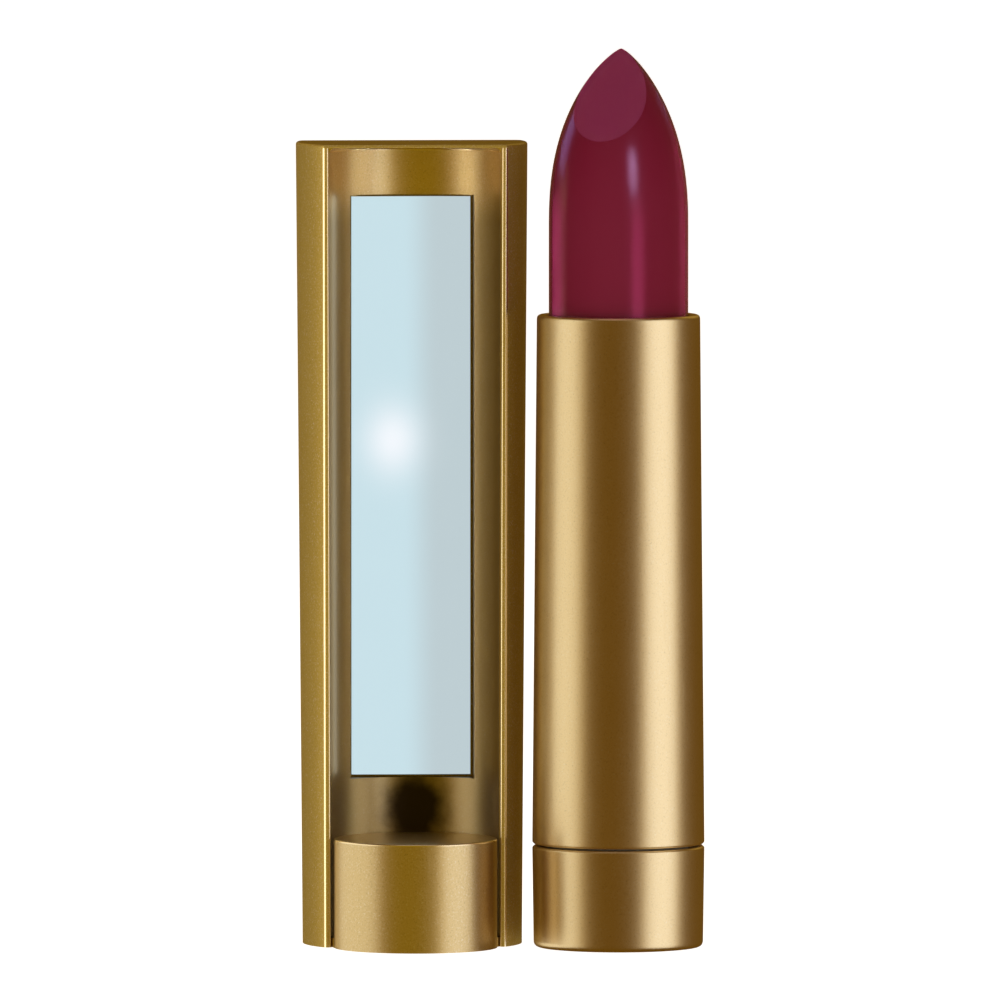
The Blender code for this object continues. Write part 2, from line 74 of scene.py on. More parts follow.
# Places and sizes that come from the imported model
LIPSTICK_X = middle("barrel", 0)
LIPSTICK_Y = middle("barrel", 1)
SEAM_RADIUS = half_size("barrel", 0)
BARREL_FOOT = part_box("barrel")[0].z
RIM_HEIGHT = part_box("barrel")[1].z
BASE_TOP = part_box("base_cap")[1].z
BULLET_RADIUS = half_size("bullet", 0)
BULLET_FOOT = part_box("bullet")[0].z
CASE_X = middle("case_shell", 0)
RAIL_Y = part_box("case_shell")[0].y
CASE_DEPTH = 2 * half_size("case_shell", 1)
CASE_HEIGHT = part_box("case_shell")[1].z
FAR_RADIUS = half_size("case_shell", 0)
FOOT_RADIUS = RAIL_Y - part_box("case_foot")[0].y
MIRROR_LOW, MIRROR_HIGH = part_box("mirror_glass")

# Shapes that the box of a node can't tell
RIM_RADIUS = 7.09 * MM
LIP_RADIUS = 6.26 * MM
BARREL_BORE = 6.82 * MM
BASE_FOOT_RADIUS = 7.36 * MM
BASE_WALL = 0.5 * MM
LABEL_RADIUS = 5.7 * MM
CUP_TOP = 53.0 * MM
STICK_FOOT_RADIUS = 5.55 * MM
OGIVE_START = 62.8 * MM
OGIVE_LENGTH = 15.2 * MM
OGIVE_POWERS = (2.36, 0.77)
TIP_SHIFT = 2.8 * MM
TIP_SHIFT_POWER = 5
TIP_TURN = math.radians(8)
FACET_SLOPE = math.radians(44.7)
FACET_TURN = math.radians(-22)
FACET_DROP = 0.03 * MM
CASE_ARC = (9.55 * MM, FAR_RADIUS)
CASE_ARC_BACK = (5.45 * MM, 6.20 * MM)
CASE_WALL = 0.65 * MM
CASE_END = 0.3 * MM
CORNER_ROUND = 0.5 * MM
CHANNEL_RADIUS = (7.36 * MM, 7.55 * MM)
LINER_SIDE = 0.45 * MM
LINER_BACK = 8.2 * MM
LINER_CORNER = 2.0 * MM
LINER_SEAM = 0.95 * MM
LINER_EDGE = 0.16 * MM
FOOT_HEIGHT = 9.45 * MM
FOOT_RISE = 0.08 * MM
PLUG_THICKNESS = 0.8 * MM
FIT_GAP = 0.05 * MM
MIRROR_GAP = 0.15 * MM
RAIL_THICKNESS = 0.6 * MM
LINER_FULL = 2.2 * MM              # depth where the tray's side runs straight
LINER_TOP = CASE_HEIGHT - CASE_END - FIT_GAP
PLUG_TO_LINER = 0.1 * MM
PLUG_GAPS = (0.2 * MM, 0.02 * MM, 0.3 * MM)
END_FILLET = 0.55 * MM             # radius of the hollow at the channel's far end
LIP_DEPTHS = (5.5 * MM, 6.0 * MM)  # how far down the barrel's rolled lip runs inside
SHOULDER_ROUND = 0.15 * MM
OGIVE_LAST = 0.99995
FLOOR_DROP = 0.02 * MM
MARGIN = 1 * MM                    # how far a cutter runs past what it cuts

# Softened edges, by what they are on
LIP_EDGE = 0.12 * MM
SEAM_EDGE = 0.06 * MM
RECESS_EDGE = 0.1 * MM
CASE_EDGE = 0.04 * MM
TRAY_EDGE = 0.05 * MM
GLASS_EDGE = 0.06 * MM

# Shading and light
SHARP_ANGLE = math.radians(40)
WHITE = (1.0, 0.985, 0.96)
AMBER = (1.0, 0.74, 0.20)
LIGHT_HEIGHT = 35 * MM
PANEL_SIZE = (0.24, 0.42)
PANEL_PLACE = (0, -0.5, 0.03)
GLOW_PLACE = (16.3 * MM, -15.5 * MM)
GLOW_SPREAD = 3.1 * MM


# ---------------------------------------------------------------- settings


class FinishSettings(bpy.types.PropertyGroup):
    """Colours and textures of the finishes."""

    barrel_gold: FloatVectorProperty(
        name="Barrel gold", description="Colour of the satin gold on the barrel and base",
        subtype="COLOR", size=3, min=0, max=1, default=(0.92, 0.745, 0.46),
    )
    case_gold: FloatVectorProperty(
        name="Case gold", description="Colour of the gold lacquer on the case's shell",
        subtype="COLOR", size=3, min=0, max=1, default=(0.60, 0.43, 0.10),
    )
    channel_gold: FloatVectorProperty(
        name="Channel gold", description="Colour of the gold in the channel and on the foot",
        subtype="COLOR", size=3, min=0, max=1, default=(0.80, 0.62, 0.33),
    )
    wax: FloatVectorProperty(
        name="Wax", description="Colour of the lipstick itself",
        subtype="COLOR", size=3, min=0, max=1, default=(0.158, 0.0062, 0.027),
    )
    glass: FloatVectorProperty(
        name="Mirror tint", description="Tint of the silvered glass",
        subtype="COLOR", size=3, min=0, max=1, default=(0.86, 0.93, 0.95),
    )
    fleck_size: FloatProperty(
        name="Fleck size", description="Size of the pearl flecks in the gold",
        unit="LENGTH", default=0.15 * MM, min=0.01 * MM,
    )


class ShapeSettings(bpy.types.PropertyGroup):
    """Small roundings that the plain model leaves out."""

    rim_round: FloatProperty(
        name="Rim rounding", description="Radius of the barrel's rolled rim",
        unit="LENGTH", default=0.4 * MM, min=0.05 * MM,
    )
    seam_chamfer: FloatProperty(
        name="Seam chamfer", description="Width of the chamfer on both sides of the seam",
        unit="LENGTH", default=0.16 * MM, min=0.02 * MM,
    )
    base_round: FloatProperty(
        name="Base rounding", description="Radius of the base's lower edge",
        unit="LENGTH", default=0.55 * MM, min=0.05 * MM,
    )
    facet_edge: FloatProperty(
        name="Facet edge", description="Width of the softened edge round the stick's facet",
        unit="LENGTH", default=0.07 * MM, min=0.01 * MM,
    )
    rail_round: FloatProperty(
        name="Rail rounding", description="Radius of the edges of the case's rails",
        unit="LENGTH", default=0.17 * MM, min=0.02 * MM,
    )
    case_end_round: FloatProperty(
        name="Case end rounding", description="Radius of the outer edge of the case's far end",
        unit="LENGTH", default=0.24 * MM, min=0.05 * MM,
    )


class StudioSettings(bpy.types.PropertyGroup):
    """Camera and light."""

    camera_turn: FloatProperty(
        name="Camera turn", description="Angle of the camera round the set, to the left",
        subtype="ANGLE", default=math.radians(3.2),
    )
    camera_rise: FloatProperty(
        name="Camera rise", description="Angle of the camera above the table",
        subtype="ANGLE", default=math.radians(3.45),
    )
    camera_distance: FloatProperty(
        name="Camera distance", description="From the camera to the middle of the set",
        unit="LENGTH", default=2.0, min=0.2,
    )
    view_width: FloatProperty(
        name="View width", description="Width of the view at the set",
        unit="LENGTH", default=86.8 * MM, min=10 * MM,
    )
    box_strength: FloatProperty(
        name="Softbox strength", description="Radiance of the two large softboxes",
        default=1.0, min=0,
    )


# ---------------------------------------------------------------- shader graphs


class Value:
    """A number in a shader graph, so that masks are written as sums and products."""

    def __init__(self, graph, socket):
        self.graph = graph
        self.socket = socket

    def __add__(self, other):
        return self.graph.math("ADD", self, other)

    __radd__ = __add__

    def __sub__(self, other):
        return self.graph.math("SUBTRACT", self, other)

    def __rsub__(self, other):
        return self.graph.math("SUBTRACT", other, self)

    def __mul__(self, other):
        return self.graph.math("MULTIPLY", self, other)

    __rmul__ = __mul__

    def __pow__(self, other):
        return self.graph.math("POWER", self, other)


class Graph:
    """A material's or world's node tree, emptied and built up again."""

    def __init__(self, owner, empty=True):
        owner.use_nodes = True
        self.tree = owner.node_tree
        if empty:
            self.tree.nodes.clear()

    @classmethod
    def of(cls, owner):
        """The graph of something whose nodes are kept."""
        return cls(owner, empty=False)

    def add(self, kind, settings=None, inputs=None):
        """A node: its settings first, a ramp's stops among them, then its sockets."""
        node = self.tree.nodes.new(kind)
        for name, value in (settings or {}).items():
            if name == "stops":
                self.set_stops(node.color_ramp, value)
            else:
                setattr(node, name, value)
        for name, value in (inputs or {}).items():
            self.feed(node.inputs[name], value)
        return node

    @staticmethod
    def set_stops(ramp, stops):
        while len(ramp.elements) < len(stops):
            ramp.elements.new(1.0)
        for element, (place, colour) in zip(ramp.elements, stops):
            element.position = place
            element.color = (*colour, 1.0) if hasattr(colour, "__len__") else (colour,) * 3 + (1.0,)

    def feed(self, socket, value):
        if isinstance(value, Value):
            value = value.socket
        if isinstance(value, bpy.types.NodeSocket):
            self.tree.links.new(value, socket)
        elif socket.type == "RGBA" and len(value) == 3:
            socket.default_value = (*value, 1.0)
        else:
            socket.default_value = value

    def math(self, operation, first, second):
        node = self.add("ShaderNodeMath", {"operation": operation}, {0: first, 1: second})
        return Value(self, node.outputs[0])

    def mix(self, share, first, second):
        """A colour between two others."""
        inputs = {0: share, 6: first, 7: second}
        return self.add("ShaderNodeMix", {"data_type": "RGBA"}, inputs).outputs[2]

    def place(self):
        """Where a point is, in metres, in the set's own frame."""
        return self.add("ShaderNodeTexCoord").outputs["Object"]

    def stretched(self, scale):
        """The place with each axis scaled."""
        settings = {"operation": "MULTIPLY"}
        return self.add("ShaderNodeVectorMath", settings, {0: self.place(), 1: scale}).outputs[0]

    def axis(self, name):
        parts = self.add("ShaderNodeSeparateXYZ", None, {0: self.place()})
        return Value(self, parts.outputs[name])

    def noise(self, size, detail=2.0, roughness=0.5, place=None):
        """Noise whose features are about a size in metres, from 0 to 1."""
        inputs = {
            "Vector": place or self.place(),
            "Scale": 1.0 / size,
            "Detail": detail,
            "Roughness": roughness,
        }
        return Value(self, self.add("ShaderNodeTexNoise", None, inputs).outputs[0])

    def span(self, value, low, high, to_low=0.0, to_high=1.0, smooth=True):
        """The value taken from one range to another, and kept inside it."""
        settings = {"interpolation_type": "SMOOTHSTEP" if smooth else "LINEAR"}
        inputs = {0: value, 1: low, 2: high, 3: to_low, 4: to_high}
        return Value(self, self.add("ShaderNodeMapRange", settings, inputs).outputs[0])

    def bump(self, height, depth, strength=1.0):
        """A normal from a height of 0 to 1 that stands for a depth in metres."""
        inputs = {"Strength": strength, "Distance": depth, "Height": height}
        return self.add("ShaderNodeBump", None, inputs).outputs[0]

    def principled(self, inputs):
        shader = self.add("ShaderNodeBsdfPrincipled", None, inputs)
        self.finish(shader.outputs[0])
        return shader

    def finish(self, surface):
        kind = "ShaderNodeOutputMaterial"
        self.add(kind, None, {"Surface": surface})


def new_material(name):
    made = bpy.data.materials.new(name)
    return made, Graph(made)


def finishes():
    return bpy.context.scene.lipstick_finish


def scaled(colour, factor):
    return tuple(channel * factor for channel in colour)


def gold_material(name, colour, roughness, coat=0.0, sparkle=1.0, metallic=1.0):
    """Satin gold: pearl flecks in a fine orange peel, a little cloudiness, small rubbed marks."""
    made, graph = new_material(name)
    size = finishes().fleck_size
    flecks = graph.noise(size, detail=3.0, roughness=0.7)
    coarse = graph.noise(size * 3.1, detail=1.0)
    cloud = graph.noise(5.5 * MM, detail=2.0)
    bright = graph.span(flecks, 0.54, 0.74)
    dull = graph.span(flecks, 0.46, 0.28)
    base = graph.mix(cloud * 0.5 + 0.15, scaled(colour, 0.97), colour)
    base = graph.mix(dull * (0.45 * sparkle), base, scaled(colour, 0.72))
    pale = tuple(channel + (1 - channel) * 0.35 for channel in colour)
    base = graph.mix(bright * (0.65 * sparkle), base, pale)
    scuff = graph.noise(0.5 * MM, detail=4.0, place=graph.stretched((1.0, 1.0, 0.08)))
    scuffs = graph.span(scuff, 0.66, 0.74) * 0.05
    rough = flecks * 0.09 + cloud * 0.03 + scuffs + (roughness - 0.06)
    grain = graph.bump(flecks * 0.6 + coarse * 0.4, 0.0042 * MM * sparkle, 1.0)
    graph.principled(
        {
            "Base Color": base,
            "Metallic": metallic,
            "Roughness": rough,
            "Normal": grain,
            "Coat Weight": coat,
            "Coat Roughness": 0.10,
        }
    )
    return made


def burnished_gold():
    """A smoother, paler gold for thin strips; its paler colour is a painted highlight."""
    if "burnished_gold" in bpy.data.materials:
        return bpy.data.materials["burnished_gold"]
    return gold_material("burnished_gold", (1.0, 0.86, 0.60), 0.24)


def channel_material():
    """The channel's gold, with painted shade: darker at the sides of and below the mirror than above
    it, and a dark patch of painted shade on its back just above the foot."""
    colour = finishes().channel_gold
    made = gold_material("channel_satin_gold", colour, 0.36, coat=0.20, sparkle=2.0)
    graph = Graph.of(made)
    shader = graph.tree.nodes["Principled BSDF"]
    # Painted shade: a near-black patch with a ragged edge on the channel's back, just above the
    # foot.
    ragged = graph.noise(1.3 * MM, detail=4.0) - 0.5
    height = graph.axis("Z")
    low, high = MIRROR_LOW.z, MIRROR_HIGH.z
    across = (graph.axis("X") - (CASE_X + 0.3 * MM)) * (1 / (2.9 * MM))
    up = (height - (low - 2.9 * MM)) * (1 / (3.6 * MM))
    from_middle = (across * across + up * up) ** 0.5
    painted_shade_patch = graph.span(from_middle + ragged * 0.35, 1.35, 0.50)
    # Painted shade: the channel's gold darker below the mirror's top than above it.
    painted_shade_low = graph.span(height, high + 1.2 * MM, high - 2.5 * MM)
    base = shader.inputs["Base Color"].links[0].from_socket
    base = graph.mix(painted_shade_low * 0.7, base, scaled(colour, 0.45))
    graph.feed(shader.inputs["Base Color"], graph.mix(painted_shade_patch, base, (0.03, 0.02, 0.02)))
    return made


def wax_material():
    """Moulded wax: a satin skin, slightly cloudy, with faint draw lines in its gloss."""
    made, graph = new_material("wax_satin")
    colour = finishes().wax
    cloud = graph.noise(3.0 * MM, detail=3.0)
    speck = graph.noise(0.16 * MM, detail=2.0)
    lines = graph.noise(0.7 * MM, detail=2.0, place=graph.stretched((1.0, 1.0, 0.05)))
    base = graph.mix(cloud * 0.5, colour, scaled(colour, 1.10))
    base = graph.mix(graph.span(speck, 0.66, 0.84) * 0.12, base, scaled(colour, 1.35))
    graph.principled(
        {
            "Base Color": base,
            "Roughness": cloud * 0.04 + lines * 0.03 + 0.17,
            "Subsurface Weight": 0.10,
            "Subsurface Radius": (1.0, 0.15, 0.25),
            "Subsurface Scale": 0.6 * MM,
        }
    )
    return made


def mirror_material():
    """Silvered glass with a thin dark border painted as shade round its sides and bottom, and a
    little dust.
    """
    made, graph = new_material("silvered_glass")
    colour = finishes().glass
    dust = graph.noise(0.22 * MM, detail=3.0)
    haze = graph.noise(4.0 * MM, detail=2.0)
    # Painted shade: the sides and bottom get a thin dark border without silver, for the shade in the
    # gap round the glass.
    middle_x, half_x = (MIRROR_LOW.x + MIRROR_HIGH.x) / 2, (MIRROR_HIGH.x - MIRROR_LOW.x) / 2
    from_side = half_x - graph.math("ABSOLUTE", graph.axis("X") - middle_x, 0.0)
    from_bottom = graph.axis("Z") - MIRROR_LOW.z
    nearest = graph.math("MINIMUM", from_side, from_bottom)
    clear_of_edge_shade = graph.span(nearest, 0.04 * MM, 0.08 * MM)
    base = graph.mix(haze * 0.4, colour, scaled(colour, 0.97))
    graph.principled(
        {
            "Base Color": graph.mix(clear_of_edge_shade, (0.012, 0.011, 0.010), base),
            "Metallic": clear_of_edge_shade,
            "Roughness": 0.012 + graph.span(dust, 0.70, 0.78) * 0.03 + haze * 0.006,
        }
    )
    return made


def plastic_material(name, colour, roughness):
    """Moulded plastic with a fine spark texture."""
    made, graph = new_material(name)
    spark = graph.noise(0.09 * MM, detail=3.0)
    cloud = graph.noise(2.5 * MM)
    graph.principled(
        {
            "Base Color": graph.mix(cloud, colour, scaled(colour, 0.92)),
            "Roughness": roughness + spark * 0.12,
            "Normal": graph.bump(spark, 0.004 * MM),
        }
    )
    return made


def turned_metal_material(name, colour, roughness, line=0.05 * MM):
    """Turned metal: fine rings round the axis."""
    made, graph = new_material(name)
    rings = graph.noise(line, detail=2.0, place=graph.stretched((0.02, 0.02, 1.0)))
    stain = graph.noise(1.8 * MM, detail=3.0)
    graph.principled(
        {
            "Base Color": graph.mix(stain * 0.6, colour, scaled(colour, 0.82)),
            "Metallic": 1.0,
            "Roughness": roughness + rings * 0.10,
            "Normal": graph.bump(rings, 0.003 * MM),
        }
    )
    return made


def label_material():
    """Blank paper film with a printed border ring in the same ink colour."""
    made, graph = new_material("label_paper")
    x = graph.axis("X") - LIPSTICK_X
    y = graph.axis("Y") - LIPSTICK_Y
    radius = (x * x + y * y) ** 0.5
    inked = graph.span(radius, 4.75 * MM, 4.80 * MM) * graph.span(radius, 5.05 * MM, 5.00 * MM)
    fibre = graph.noise(0.12 * MM, detail=4.0, roughness=0.7)
    paper = graph.mix(fibre * 0.5, (0.80, 0.76, 0.66), (0.72, 0.68, 0.58))
    graph.principled(
        {
            "Base Color": graph.mix(inked, paper, (0.16, 0.02, 0.05)),
            "Roughness": 0.55 + fibre * 0.1,
            "Normal": graph.bump(fibre, 0.003 * MM),
        }
    )
    return made


# ---------------------------------------------------------------- mesh helpers


def arc(centre, radius, start, end, steps):
    """Points on an arc in a plane, ends included."""
    points = []
    for i in range(steps + 1):
        angle = start + (end - start) * i / steps
        points.append((centre[0] + radius * math.cos(angle), centre[1] + radius * math.sin(angle)))
    return points


def bezier(start, corner, end, steps):
    """Points on the curve that rounds off a corner, ends included."""
    points = []
    for i in range(steps + 1):
        t = i / steps
        weights = ((1 - t) ** 2, 2 * t * (1 - t), t**2)
        points.append(
            tuple(sum(w * p[k] for w, p in zip(weights, (start, corner, end))) for k in range(2))
        )
    return points


def softened(corners, steps=5):
    """A line through corners, each (radius, height, rounding), with its corners rounded and
    a guard point beside each rounding, so that the flats stay flat in the shading."""
    points = []
    last = len(corners) - 1
    for i, (x, y, rounding) in enumerate(corners):
        if rounding == 0 or i in (0, last):
            points.append((x, y))
            continue
        here = Vector((x, y))
        ends = []
        for other in (corners[i - 1], corners[i + 1]):
            way = Vector(other[:2]) - here
            reach = min(rounding, way.length * 0.45)
            guard = min(reach + 0.08 * MM, way.length * 0.49)
            way.normalize()
            ends.append((tuple(here + way * guard), tuple(here + way * reach)))
        points.append(ends[0][0])
        points += bezier(ends[0][1], (x, y), ends[1][1], steps)
        points.append(ends[1][0])
    return points


def turned_piece(name, profile, centre, sides=160):
    """A turned mesh from (radius, height) points that run down its outer side. Both ends of
    the line meet, on the axis or at one ring."""
    mesh = bpy.data.meshes.new(name)
    build = bmesh.new()
    closed = profile[0][0] > 0 and profile[-1][0] > 0
    rings = []
    for radius, height in profile:
        if radius == 0:
            rings.append([build.verts.new((centre[0], centre[1], height))])
            continue
        ring = []
        for i in range(sides):
            angle = math.tau * i / sides
            x, y = centre[0] + radius * math.cos(angle), centre[1] + radius * math.sin(angle)
            ring.append(build.verts.new((x, y, height)))
        rings.append(ring)
    pairs = list(zip(rings, rings[1:]))
    if closed:
        pairs.append((rings[-1], rings[0]))
    for upper, lower in pairs:
        for i in range(sides):
            j = (i + 1) % sides
            corners = [(upper, i), (lower, i), (lower, j), (upper, j)]
            corners = [ring[k % len(ring)] for ring, k in corners]
            build.faces.new(list(dict.fromkeys(corners)))
    bmesh.ops.recalc_face_normals(build, faces=build.faces)
    return finished_object(name, mesh, build)


def finished_object(name, mesh, build):
    build.to_mesh(mesh)
    build.free()
    obj = bpy.data.objects.new(name, mesh)
    bpy.context.scene.collection.objects.link(obj)
    mesh.shade_smooth()
    mesh.set_sharp_from_angle(angle=SHARP_ANGLE)
    return obj


def lofted_piece(name, sections):
    """A closed mesh through sections, each a list of points with the same count."""
    mesh = bpy.data.meshes.new(name)
    build = bmesh.new()
    rings = [[build.verts.new(point) for point in section] for section in sections]
    count = len(rings[0])
    for lower, upper in zip(rings, rings[1:]):
        for i in range(count):
            j = (i + 1) % count
            build.faces.new((lower[i], lower[j], upper[j], upper[i]))
    build.faces.new(list(reversed(rings[0])))
    build.faces.new(rings[-1])
    bmesh.ops.recalc_face_normals(build, faces=build.faces)
    return finished_object(name, mesh, build)


def box_piece(name, low, high):
    mesh = bpy.data.meshes.new(name)
    build = bmesh.new()
    bmesh.ops.create_cube(build, size=1.0)
    for vert in build.verts:
        vert.co = Vector((low[i] + high[i]) / 2 + vert.co[i] * (high[i] - low[i]) for i in range(3))
    return finished_object(name, mesh, build)


def combine(obj, other, operation):
    """Applies a Boolean to the mesh and removes the other object."""
    modifier = obj.modifiers.new("Boolean", "BOOLEAN")
    modifier.operation = operation
    modifier.object = other
    modifier.solver = "EXACT"
    apply_modifiers(obj)
    bpy.data.objects.remove(other, do_unlink=True)


def soften_edges(obj, width, segments=3, angle=math.radians(32)):
    """Rounds the sharp edges and keeps the flats flat in the shading."""
    bevel = obj.modifiers.new("Rounding", "BEVEL")
    bevel.width = width
    bevel.segments = segments
    bevel.limit_method = "ANGLE"
    bevel.angle_limit = angle
    bevel.use_clamp_overlap = True
    bevel.miter_outer = "MITER_ARC"
    apply_modifiers(obj)
    obj.data.shade_smooth()
    obj.data.set_sharp_from_angle(angle=SHARP_ANGLE)
    weighted = obj.modifiers.new("Shading", "WEIGHTED_NORMAL")
    weighted.keep_sharp = True
    weighted.weight = 80


def apply_modifiers(obj):
    """Replaces the mesh by the evaluated one."""
    bpy.context.view_layer.update()
    graph = bpy.context.evaluated_depsgraph_get()
    made = bpy.data.meshes.new_from_object(obj.evaluated_get(graph))
    old = obj.data
    obj.modifiers.clear()
    obj.data = made
    made.name = obj.name
    bpy.data.meshes.remove(old)


def paint_highlight_faces(obj, chosen):
    """Gives the faces whose middle is chosen a second gold, whose paler colour is a painted
    highlight.
    """
    obj.data.materials.append(burnished_gold())
    for face in obj.data.polygons:
        if chosen(face.center):
            face.material_index = 1


def dress(obj, material, body, slot, *nodes):
    """Gives a new piece its finish, its body and the nodes that it stands for."""
    obj.data.materials.clear()
    obj.data.materials.append(material)
    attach(obj, body)
    if nodes:
        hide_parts(*nodes)


def place(points, height):
    """Points of the case's section, at a height, in the set's frame."""
    return [(CASE_X + x, RAIL_Y + y, height) for x, y in points]


def mirrored(points):
    """Both halves of an outline from its right half."""
    return points + [(-x, y) for x, y in reversed(points)]


# ---------------------------------------------------------------- lipstick


def make_barrel(shape, gold):
    """The tapered barrel, with a rolled rim at the top and a chamfered seam below."""
    chamfer = shape.seam_chamfer
    profile = softened(
        [
            (BARREL_BORE, RIM_HEIGHT - LIP_DEPTHS[1], 0),
            (LIP_RADIUS, RIM_HEIGHT - LIP_DEPTHS[0], 0),
            (LIP_RADIUS, RIM_HEIGHT, LIP_EDGE),
            (RIM_RADIUS, RIM_HEIGHT, shape.rim_round),
            (SEAM_RADIUS, BARREL_FOOT + chamfer, SEAM_EDGE),
            (SEAM_RADIUS - chamfer, BARREL_FOOT, SEAM_EDGE),
            (BARREL_BORE, BARREL_FOOT, 0),
        ]
    )
    barrel = turned_piece("barrel_sleeve", profile, (LIPSTICK_X, LIPSTICK_Y))
    dress(barrel, gold, "barrel", "barrel_gold", "barrel")


def make_base(shape, gold):
    """The ring that is turned by hand, with the recess for the label underneath."""
    chamfer = shape.seam_chamfer
    inside = SEAM_RADIUS - BASE_WALL
    floor, recess, inner_round = 1.3 * MM, 0.4 * MM, 0.3 * MM
    profile = softened(
        [
            (0, floor, 0),
            (inside, floor, inner_round),
            (inside, BASE_TOP, SEAM_EDGE),
            (SEAM_RADIUS - chamfer, BASE_TOP, SEAM_EDGE),
            (SEAM_RADIUS, BASE_TOP - chamfer, SEAM_EDGE),
            (BASE_FOOT_RADIUS, 0, shape.base_round),
            (LABEL_RADIUS, 0, RECESS_EDGE),
            (LABEL_RADIUS, recess, RECESS_EDGE),
            (0, recess, 0),
        ]
    )
    base = turned_piece("base_ring", profile, (LIPSTICK_X, LIPSTICK_Y))
    dress(base, gold, "base", "barrel_gold", "base_cap")


def stick_ring(radius, height, shift=0.0, sides=180):
    """One section of the stick, its middle shifted away from the facet."""
    middle_x = LIPSTICK_X + shift * math.sin(TIP_TURN)
    middle_y = LIPSTICK_Y + shift * math.cos(TIP_TURN)
    points = []
    for i in range(sides):
        angle = math.tau * i / sides
        x, y = middle_x + radius * math.cos(angle), middle_y + radius * math.sin(angle)
        points.append((x, y, height))
    return points


def ogive_ring(share):
    """The ogive's section at a share of its length, 1 at the point."""
    first, second = OGIVE_POWERS
    radius = BULLET_RADIUS * (1 - share**first) ** second
    return stick_ring(radius, OGIVE_START + OGIVE_LENGTH * share, TIP_SHIFT * share**TIP_SHIFT_POWER)


def make_bullet(shape):
    """The stick: a round bar, an ogive whose point leans back, and one slanted facet."""
    shoulder = CUP_TOP + 0.1 * MM
    steps = 90
    sections = [stick_ring(STICK_FOOT_RADIUS, BULLET_FOOT), stick_ring(STICK_FOOT_RADIUS, shoulder)]
    middle_of_edge = (BULLET_RADIUS - SHOULDER_ROUND, shoulder + SHOULDER_ROUND)
    edge = arc(middle_of_edge, SHOULDER_ROUND, -math.pi / 2, 0, 4)
    sections += [stick_ring(radius, height) for radius, height in edge]
    sections += [ogive_ring(1 - (1 - i / steps) ** 2) for i in range(steps)]
    sections.append(ogive_ring(OGIVE_LAST))
    bullet = lofted_piece("bullet_stick", sections)
    size = 20 * MM
    cutter = box_piece("facet_cut", (-size, -size, 0), (size, size, size))
    cutter.rotation_euler = (FACET_SLOPE, 0, FACET_TURN)
    normal = Vector((0, 0, 1))
    normal.rotate(cutter.rotation_euler)
    point = (
        LIPSTICK_X + TIP_SHIFT * math.sin(TIP_TURN),
        LIPSTICK_Y + TIP_SHIFT * math.cos(TIP_TURN),
        OGIVE_START + OGIVE_LENGTH,
    )
    cutter.location = Vector(point) - normal * FACET_DROP
    combine(bullet, cutter, "DIFFERENCE")
    soften_edges(bullet, shape.facet_edge, 3, math.radians(24))
    dress(bullet, wax_material(), "carrier", "lipstick_wax", "bullet")


# ---------------------------------------------------------------- mirror case


def between(ends, share):
    return ends[0] + (ends[1] - ends[0]) * share


def bowed_side(share, inset, front, back, steps=28):
    """The right half of the bowed outline, front to back, with its back corner rounded."""
    radius = between(CASE_ARC, share) - inset
    centre = between(CASE_ARC_BACK, share)
    rounding = CORNER_ROUND
    corner_y = back - rounding
    start = math.asin((front - centre) / radius)
    end = math.asin((corner_y - centre) / (radius - rounding))
    points = arc((0, centre), radius, start, end, steps)
    corner_x = (radius - rounding) * math.cos(end)
    points += arc((corner_x, corner_y), rounding, end, math.pi / 2, 6)[1:]
    return points


def wall_x(share, depth):
    """Half the round channel's width at a depth behind the rails' plane."""
    return math.sqrt(between(CHANNEL_RADIUS, share) ** 2 - depth**2)


def lip_meets_arc(share):
    """How deep the channel's wall line runs before it meets the shell's inner arc."""
    radius = between(CASE_ARC, share) - CASE_WALL
    centre = between(CASE_ARC_BACK, share)
    return centre - math.sqrt(radius**2 - wall_x(share, RAIL_THICKNESS) ** 2)


def case_sections(outline, heights):
    return [place(outline(h / CASE_HEIGHT), h) for h in heights]


def shell_outline(share, inset=0.0):
    return mirrored(bowed_side(share, inset, inset, CASE_DEPTH - inset))


def hollow_outline(share, rounding):
    """The shell below its end plate: open in front, with both edges of each rail rounded."""
    mouth = between(CHANNEL_RADIUS, share)
    outer = bowed_side(share, 0, rounding, CASE_DEPTH)
    edge_x = bowed_side(share, 0, 0, CASE_DEPTH, 1)[0][0]
    outer = bezier((edge_x - rounding, 0), (edge_x, 0), outer[0], 6)[:-1] + outer
    inner = bezier((mouth + rounding, 0), (mouth, 0), (wall_x(share, rounding), rounding), 6)
    inner += bowed_side(share, CASE_WALL, lip_meets_arc(share), CASE_DEPTH - CASE_WALL)
    return mirrored(outer) + list(reversed(mirrored(inner)))


def make_case_shell(shape, gold):
    """The outer shell: bowed sides, flat back, a rounded far end and thin rails."""
    inside_end = CASE_HEIGHT - CASE_END
    sections = []
    for height in (0, inside_end):
        sections.append(place(hollow_outline(height / CASE_HEIGHT, shape.rail_round), height))
    shell = lofted_piece("case_outer", sections)
    end_round = shape.case_end_round
    sections = case_sections(shell_outline, (inside_end, CASE_HEIGHT - end_round))
    steps = 6
    for i in range(1, steps + 1):
        angle = math.pi / 2 * i / steps
        inset = end_round * (1 - math.cos(angle))
        height = CASE_HEIGHT - end_round * (1 - math.sin(angle))
        sections.append(place(shell_outline(height / CASE_HEIGHT, inset), height))
    combine(shell, lofted_piece("end_plate", sections), "UNION")
    soften_edges(shell, CASE_EDGE, 2)
    dress(shell, gold, "case", "case_gold", "case_shell")
    # Painted highlight: the front roundings of the rails get the smoother, paler gold.
    front, back = RAIL_Y + 0.004 * MM, RAIL_Y + 0.8 * shape.rail_round
    paint_highlight_faces(shell, lambda place: front < place.y < back and place.z < inside_end)


